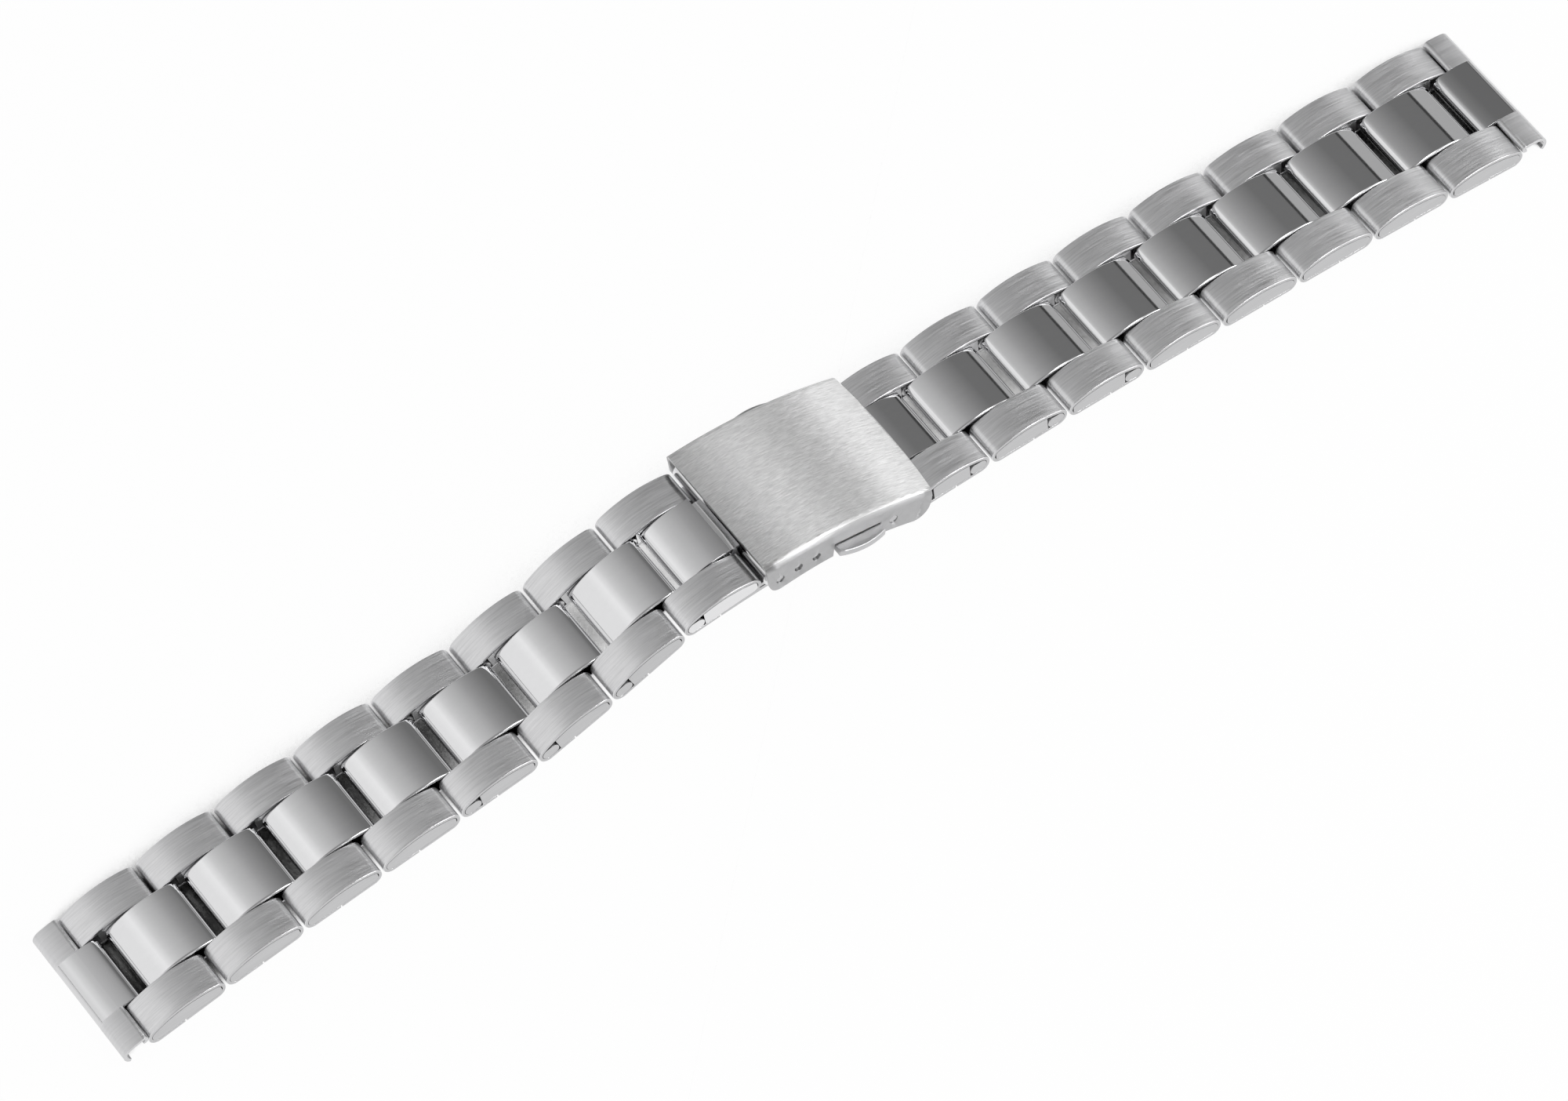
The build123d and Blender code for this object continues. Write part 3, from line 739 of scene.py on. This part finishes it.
def start_block(middle: Vector, size_mm: tuple[float, float, float]) -> Piece:
    """Add a block and leave it in edit mode, all selected.

    Args:
        middle: Its middle in metres.
        size_mm: Its size along X, Y and Z.

    Returns:
        The block.
    """
    bpy.ops.object.select_all(action="DESELECT")
    bpy.ops.mesh.primitive_cube_add(size=MM, location=middle)
    bpy.ops.object.mode_set(mode="EDIT")
    bpy.ops.mesh.select_all(action="SELECT")
    bpy.ops.transform.resize(value=size_mm, center_override=middle)
    return bpy.context.object


def end_sheet(last_run_mm: float) -> None:
    """Draw the sheet's selected end face out straight, weld the sheet and leave edit mode.

    Args:
        last_run_mm: How far the end is drawn out along X.
    """
    bpy.ops.mesh.extrude_region_move(TRANSFORM_OT_translate={"value": (last_run_mm * MM, 0, 0)})
    bpy.ops.mesh.select_all(action="SELECT")
    bpy.ops.mesh.remove_doubles(threshold=WELD_MM * MM)
    bpy.ops.mesh.normals_make_consistent(inside=False)
    bpy.ops.object.mode_set(mode="OBJECT")
    bpy.ops.object.transform_apply(location=True, rotation=True, scale=True)


def lay_along(spot: Vector, along: Vector) -> Matrix:
    """Return the matrix that puts a piece's origin at a spot and its X axis along a direction, its top up.

    Args:
        spot: Where the origin goes.
        along: The direction, in the plane of X and Z.

    Returns:
        The matrix.
    """
    out = along.cross(Vector((0, 1, 0)))
    out = out if out.z > 0 else -out
    return Matrix.Translation(spot) @ Matrix((along, out.cross(along), out)).transposed().to_4x4()


def joint_place(frame: dict[str, Any], name: str) -> Vector:
    """Return a joint's place.

    Args:
        frame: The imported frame.
        name: The joint's name.

    Returns:
        The place in metres.
    """
    return next(Vector(j["pos_m"]) for j in frame["record"]["behaviour"]["joints"] if j["name"] == name)


def half_width(node: str) -> float:
    """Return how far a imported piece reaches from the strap's middle, in millimetres.

    Args:
        node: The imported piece's name.

    Returns:
        The distance.
    """
    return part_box(node)[1][1] / MM


def add_bevel(piece: Piece, name: str, width_mm: float) -> None:
    """Add a modifier that rounds the sharp edges of a piece.

    Args:
        piece: The piece.
        name: The modifier's name.
        width_mm: The rounding's width.
    """
    bevel = piece.modifiers.new(name, "BEVEL")
    bevel.width = width_mm * MM
    bevel.segments = EDGE_SEGMENTS
    bevel.limit_method = "ANGLE"
    bevel.angle_limit = ROUNDED_FROM


def keep_flats_flat(piece: Piece) -> str:
    """Add a modifier that keeps the shading of large faces flat beside their rounded edges.

    Args:
        piece: The piece.

    Returns:
        The modifier's name.
    """
    weigh = piece.modifiers.new("flats_stay_flat", "WEIGHTED_NORMAL")
    weigh.weight = FLAT_WEIGHT
    return weigh.name


def round_edges(piece: Piece, radius_mm: float) -> None:
    """Round the sharp edges of a modelled piece and shade it smooth.

    Args:
        piece: The piece.
        radius_mm: The rounding.
    """
    select_only(piece)
    add_bevel(piece, "edges", radius_mm)
    bpy.ops.object.modifier_apply(modifier="edges")
    bpy.ops.object.shade_smooth()
    bpy.ops.object.modifier_apply(modifier=keep_flats_flat(piece))


def smooth_node(node: Piece, finish: SteelFinish) -> None:
    """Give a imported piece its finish, lightly broken edges and round shading.

    Args:
        node: The piece as packed.
        finish: Its surface.
    """
    for face in node.data.polygons:
        face.use_smooth = True
    weld = node.modifiers.new("weld", "WELD")
    weld.merge_threshold = WELD_MM * MM
    add_bevel(node, "broken_edges", NODE_EDGE_MM)
    split = node.modifiers.new("edges", "EDGE_SPLIT")
    split.split_angle = SPLIT_FROM
    keep_flats_flat(node)
    node.data.materials.clear()
    node.data.materials.append(finish.material())


@dataclass(frozen=True)
class RolledLink:
    """One link of sheet steel, rolled round from a seam underneath.

    Attributes:
        length: Its length over both noses, in millimetres like all lengths.
        nose_radius: Outer radius of the noses.
        crown_height: Height of the crown over the line through the noses' middles.
        sheet: The sheet's thickness.
        seam_share: Where the seam lies, as a share of the length.
        seam_gap: Width of the seam.
        edge_radius: Rounding of the sharp edges.
        long_edge_radius: Rounding of the long outer edges.
        long_edge_steps: Steps of that rounding.
        nose_steps: Steps of each nose.
        crown_steps: Steps of the crown.
    """

    length: float
    nose_radius: float = 1.15
    crown_height: float = 1.8
    sheet: float = 0.4
    seam_share: float = 0.45
    seam_gap: float = 0.15
    edge_radius: float = 0.05
    long_edge_radius: float = 0.0
    long_edge_steps: int = 4
    nose_steps: int = 14
    crown_steps: int = 32

    @property
    def crown_radius(self) -> float:
        """Radius of the crown that meets both noses smoothly."""
        run = self.length / 2 - self.nose_radius
        rise = self.crown_height - self.nose_radius
        return (run * run + rise * rise) / (2 * rise) + self.nose_radius

    @property
    def lean(self) -> float:
        """Angle from the crown's top to where a nose begins, in radians."""
        return math.asin((self.length / 2 - self.nose_radius) / (self.crown_radius - self.nose_radius))

    @property
    def seam(self) -> float:
        """Where the seam lies from the lug nose's middle."""
        return self.length * self.seam_share - self.nose_radius

    def soften(self, link: Piece) -> None:
        """Round the long outer edges of a link of its final width, still at the origin.

        Args:
            link: The link.
        """
        inside = Vector((self.seam, 0, 0)) * MM
        select_only(link)
        bpy.ops.object.mode_set(mode="EDIT")
        bpy.ops.mesh.select_mode(type="EDGE")
        bpy.ops.mesh.select_all(action="DESELECT")
        shape = bmesh.from_edit_mesh(link.data)
        for edge in shape.edges:
            flat = [abs(face.normal.y) > FACING_SIDE for face in edge.link_faces]
            if sum(flat) == 1:
                rolled = edge.link_faces[flat.index(False)]
                spot = rolled.calc_center_median()
                spot.y = 0
                edge.select_set(rolled.normal.dot(spot - inside) > 0)
        bmesh.update_edit_mesh(link.data)
        bpy.ops.mesh.bevel(offset=self.long_edge_radius * MM, segments=self.long_edge_steps, affect="EDGES")
        bpy.ops.object.mode_set(mode="OBJECT")

    def model(self, name: str) -> Piece:
        """Model the link one millimetre wide, its lug nose at the origin.

        Args:
            name: The object's name.

        Returns:
            The link, lying along X with its crown up.
        """
        left_end, right_end = self.seam - self.seam_gap / 2, self.seam + self.seam_gap / 2
        span = self.length - 2 * self.nose_radius
        crown_centre = Vector((span / 2, 0, self.crown_height - self.crown_radius)) * MM
        middle = Vector((left_end / 2, 0, self.sheet / 2 - self.nose_radius)) * MM
        link = start_block(middle, (left_end, 1, self.sheet))
        link.name = name
        nose = math.pi - self.lean
        turns = (
            (Vector((0, 0, 0)), nose, self.nose_steps),
            (crown_centre, 2 * self.lean, self.crown_steps),
            (Vector((span, 0, 0)) * MM, nose, self.nose_steps),
        )
        end = Vector((0, 0, middle.z))

        def at_end(spot: Vector, _: Vector) -> bool:
            """Say whether a face is the sheet's open end."""
            return (spot - end).length < SAME_SPOT_MM * MM

        for turn in turns:
            roll_on(link, at_end, (turn,))
            centre, angle, _ = turn
            end = centre + Matrix.Rotation(angle, 3, "Y") @ (end - centre)
        pick(link, at_end)
        end_sheet(right_end - span)
        return link


@dataclass(frozen=True)
class EndPlate:
    """The plate at a lug end: an arched sheet with an open hook, a hinge tab and two rolled lips.

    Attributes:
        side: The half it ends.
        frame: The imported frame.
        ring_radius: Outer radius of the hinge tab's ring and of the hook, in millimetres like all lengths.
        crown_height: Height of the arch over the line through the middles of ring and hook.
        sheet: The sheet's thickness.
        hook_degrees: How far the hook turns.
        tab_return: How far the tab runs back under the arch.
        lip_middle: How far along from the ring's middle the lips' middles lie.
        lip_radius: The lips' outer radius.
        lip_degrees: How far the lips turn.
        start_length: Length of the block that the sheet starts from.
        start_reach: A face this near the block's middle along X belongs to the block.
        top_share: A face this far up the arch's radius belongs to the arch.
        arch_steps: Steps of each side of the arch.
        roll_steps: Steps of each roll.
        edge_radius: Rounding of the edges.
    """

    side: Side
    frame: dict[str, Any]
    ring_radius: float = 1.15
    crown_height: float = 1.29
    sheet: float = 0.4
    hook_degrees: float = 145.0
    tab_return: float = 1.55
    lip_middle: float = 1.56
    lip_radius: float = 0.5
    lip_degrees: float = 200.0
    start_length: float = 0.04
    start_reach: float = 0.1
    top_share: float = 0.9
    arch_steps: int = 6
    roll_steps: int = 16
    edge_radius: float = 0.05

    def build(self) -> None:
        """Model the plate, dress it and hand it to its body."""
        half = half_width(f"{self.side.value}_1_centre_link")
        edge = half_width(f"{self.side.value}_end_plate")
        ring, hook = self._centres()
        plate = self._sheet((hook - ring).length / MM, half, edge)
        plate.data.transform(lay_along(ring, (hook - ring).normalized()))
        plate.name = f"{self.side.value}_arched_end_plate"
        plate.data.materials.append(plate_finish(half).material())
        round_edges(plate, self.edge_radius)
        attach(plate, f"{self.side.value}_plate")
        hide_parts(f"{self.side.value}_end_plate")
        LOG.info("rolled %s", plate.name)

    def _centres(self) -> tuple[Vector, Vector]:
        """Return the middles of the hinge tab's ring and of the hook, in metres."""
        seat = f"{self.side.value}_lug_bar_seat"
        hook = next(Vector(m["pos_m"]) for m in self.frame["record"]["mounts"] if m["name"] == seat)
        return joint_place(self.frame, f"{self.side.value}_hinge_1"), hook

    def _sheet(self, span: float, half: float, edge: float) -> Piece:
        """Model the sheet with the ring's middle at the origin and the hook's along X.

        Args:
            span: Distance between the middles of ring and hook.
            half: Half the tab's width.
            edge: Half the plate's width.

        Returns:
            The plate.
        """
        rise = self.crown_height - self.ring_radius
        reach = (span * span / 4 + rise * rise) / (2 * rise)
        crown_radius = reach + self.ring_radius
        crown = Vector((span / 2, 0, self.crown_height - crown_radius)) * MM
        lean = math.asin(span / 2 / reach)
        lip_lean = math.asin((self.lip_middle - span / 2) / (crown_radius - self.lip_radius))
        lip_way = Vector((math.sin(lip_lean), 0, math.cos(lip_lean)))
        lip = crown + lip_way * (crown_radius - self.lip_radius) * MM
        middle = Vector((span / 2, 0, self.crown_height - self.sheet / 2)) * MM
        plate = start_block(middle, (self.start_length, 2 * edge, self.sheet))
        for cut in (-half, half):
            bpy.ops.mesh.select_all(action="SELECT")
            bpy.ops.mesh.bisect(plane_co=(0, cut * MM, 0), plane_no=(0, 1, 0))

        def hook_end(_: Vector, face: Vector) -> bool:
            """Say whether a face is one that the hook goes on from."""
            return face.x > FACING_END

        def lip_ends(spot: Vector, face: Vector) -> bool:
            """Say whether a face is one that a lip goes on from."""
            on_arch = spot.z > crown.z + self.top_share * crown_radius * MM
            return face.x < -FACING_END and abs(spot.y) > half * MM and on_arch

        def tab_end(spot: Vector, face: Vector) -> bool:
            """Say whether a face is one that the hinge tab goes on from."""
            on_block = abs(spot.x - middle.x) < self.start_reach * MM
            return face.x < -FACING_END and abs(spot.y) < half * MM and on_block

        hook_turn = math.radians(self.hook_degrees) - lean
        roll_on(plate, hook_end, (
            (crown, lean, self.arch_steps), (Vector((span, 0, 0)) * MM, hook_turn, self.roll_steps)))
        roll_on(plate, lip_ends, (
            (crown, lip_lean, 1), (lip, -math.radians(self.lip_degrees), self.roll_steps)))
        roll_on(plate, tab_end, (
            (crown, -lean, self.arch_steps), (Vector((0, 0, 0)), lean - math.pi, self.roll_steps)))
        end_sheet(self.tab_return)
        return plate


@dataclass(frozen=True)
class Pair:
    """Where one pair of links lies: its lug nose axis and the direction along the strap."""

    side: Side
    number: int
    axis: Vector
    along: Vector

    @property
    def name(self) -> str:
        """Name of the pair's body."""
        return f"{self.side.value}_{self.number}"

    def place(self, start_mm: float = 0.0) -> Matrix:
        """Return the matrix that puts a link on its pair.

        Args:
            start_mm: How far along the strap the link starts from the pair's lug nose axis.

        Returns:
            The matrix.
        """
        return lay_along(self.axis + self.along * start_mm * MM, self.along)


@dataclass(frozen=True)
class Strap:
    """One half of the strap: eight pairs of brushed outer links round polished centre links.

    Attributes:
        side: Which half.
        frame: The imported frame.
        outer: The kind of outer link.
        centre: The kind of centre link.
        centre_start: How far past its pair's lug nose axis a centre link starts, in millimetres like all.
        side_gap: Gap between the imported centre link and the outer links.
        centre_growth: How much wider each side of the centre link is than packed.
        bar_point: The spring bar's place on the last left pair, along and up from its lug nose axis.
        end_point: The end blade's axis on the last right pair, in the same way.
    """

    side: Side
    frame: dict[str, Any]
    outer: RolledLink = field(default_factory=lambda: RolledLink(9.75, long_edge_radius=0.1))
    centre: RolledLink = field(default_factory=lambda: RolledLink(9.2, long_edge_radius=0.22))
    centre_start: float = 3.1
    side_gap: float = 0.13
    centre_growth: float = 0.06
    bar_point: Span = (10.4, -0.16)
    end_point: Span = (7.45, 0.0)

    def pair(self, number: int) -> Pair:
        """Find where one pair lies from the hinges at its two ends.

        Args:
            number: The pair's number, one at the lug end.

        Returns:
            The pair.
        """
        here = joint_place(self.frame, f"{self.side.value}_hinge_{number}")
        if number < len(PAIRS):
            there = joint_place(self.frame, f"{self.side.value}_hinge_{number + 1}")
            return Pair(self.side, number, here, (there - here).normalized())
        left = self.side is Side.LEFT
        there = joint_place(self.frame, "strap_bar_hinge" if left else "strap_end_hinge")
        run, rise = self.bar_point if left else self.end_point
        tilt = math.atan2(rise, run) * (1 if left else -1)
        along = Matrix.Rotation(tilt, 3, "Y") @ (there - here).normalized()
        return Pair(self.side, number, here, along)

    def build(self) -> None:
        """Copy the two model links along the half and dress them."""
        outer = self.outer.model("outer_link_model")
        centre = self.centre.model("centre_link_model")
        for number in PAIRS:
            pair = self.pair(number)
            half = half_width(f"{pair.name}_centre_link")
            self._outer_links(outer, pair, half + self.side_gap, half_width(f"{pair.name}_outer_links"))
            if number < len(PAIRS):
                self._centre_link(centre, pair, half + self.centre_growth)
        for model in (outer, centre):
            bpy.data.objects.remove(model)

    def _outer_links(self, model: Piece, pair: Pair, near: float, far: float) -> None:
        """Set the two outer links of a pair.

        Args:
            model: The outer link, one millimetre wide.
            pair: The pair.
            near: Where each link starts from the strap's middle.
            far: Where it ends.
        """
        reach = (near + far) / 2
        parts = [self._copy(self.outer, model, pair.place(), offset, far - near)
                 for offset in (reach, -reach)]
        select_only(parts[0])
        parts[1].select_set(True)
        bpy.ops.object.join()
        self._finish(parts[0], f"{pair.name}_rolled_outer_links", BRUSHED_LINK)
        self._hand_over(parts[0], pair, f"{pair.name}_outer_links")

    def _centre_link(self, model: Piece, pair: Pair, half: float) -> None:
        """Set the centre link of a pair.

        Args:
            model: The centre link, one millimetre wide.
            pair: The pair.
            half: Half its width.
        """
        link = self._copy(self.centre, model, pair.place(self.centre_start), 0.0, 2 * half)
        self._finish(link, f"{pair.name}_rolled_centre_link", POLISHED_LINK)
        self._hand_over(link, pair, f"{pair.name}_centre_link")

    def _copy(self, link: RolledLink, model: Piece, place: Matrix, offset: float, width: float) -> Piece:
        """Copy a model link to its width and place, with its place in the mesh.

        Args:
            link: The kind of link.
            model: The link, one millimetre wide.
            place: Where the link's lug nose goes.
            offset: Its middle's distance from the strap's middle.
            width: Its width.

        Returns:
            The copy.
        """
        copy = bpy.data.objects.new(f"{model.name}_copy", model.data.copy())
        bpy.context.scene.collection.objects.link(copy)
        copy.data.transform(Matrix.Diagonal((1, width, 1, 1)))
        link.soften(copy)
        copy.data.transform(Matrix.Translation((0, offset * MM, 0)) @ place)
        return copy

    def _finish(self, piece: Piece, name: str, finish: SteelFinish) -> None:
        """Name a piece, dress its rolled face and its cut faces, and round its edges.

        Args:
            piece: The piece.
            name: Its name.
            finish: The finish of its rolled face.
        """
        piece.name = name
        piece.data.materials.clear()
        piece.data.materials.append(finish.material())
        piece.data.materials.append(TUMBLED_EDGE.material())
        for face in piece.data.polygons:
            face.material_index = 1 if abs(face.normal.y) > FACING_SIDE else 0
        round_edges(piece, self.outer.edge_radius)

    def _hand_over(self, piece: Piece, pair: Pair, node: str) -> None:
        """Hand a finished piece to its body.

        Args:
            piece: The piece.
            pair: The pair it belongs to.
            node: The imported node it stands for.
        """
        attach(piece, pair.name)
        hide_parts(node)
        LOG.info("rolled %s", piece.name)


@dataclass(frozen=True)
class Bracelet:
    """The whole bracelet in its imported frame."""

    frame: dict[str, Any]

    def dress(self) -> None:
        """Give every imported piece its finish."""
        for name, node in self.frame["nodes"].items():
            smooth_node(node, self._finish(name))
            LOG.info("dressed %s", name)

    def _finish(self, name: str) -> SteelFinish:
        """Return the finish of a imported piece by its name.

        Args:
            name: The node's name.

        Returns:
            The finish.
        """
        if "centre_link" in name or name == "left_8_core_and_pin":
            return POLISHED_LINK
        if "outer_links" in name:
            return BRUSHED_LINK
        if name == "clasp_cover":
            return cover_finish(half_width(name) - COVER_SKIRT_MM)
        if name.endswith("end_plate"):
            return plate_finish(half_width("left_1_centre_link"))
        if name.endswith("_hinge_pin") or name in ("spring_bar", "button_spring"):
            return TURNED_PIN
        return TUMBLED_EDGE


def main() -> None:
    """Load the frame, set up the studio, and model and dress the bracelet."""
    logging.basicConfig(level=logging.INFO, format="%(message)s")
    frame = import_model()
    for part in (StudioCamera(), Table(), Walls(), SoftPanel()):
        part.build()
    Bracelet(frame).dress()
    for side in Side:
        Strap(side, frame).build()
        EndPlate(side, frame).build()


if __name__ == "__main__":
    main()
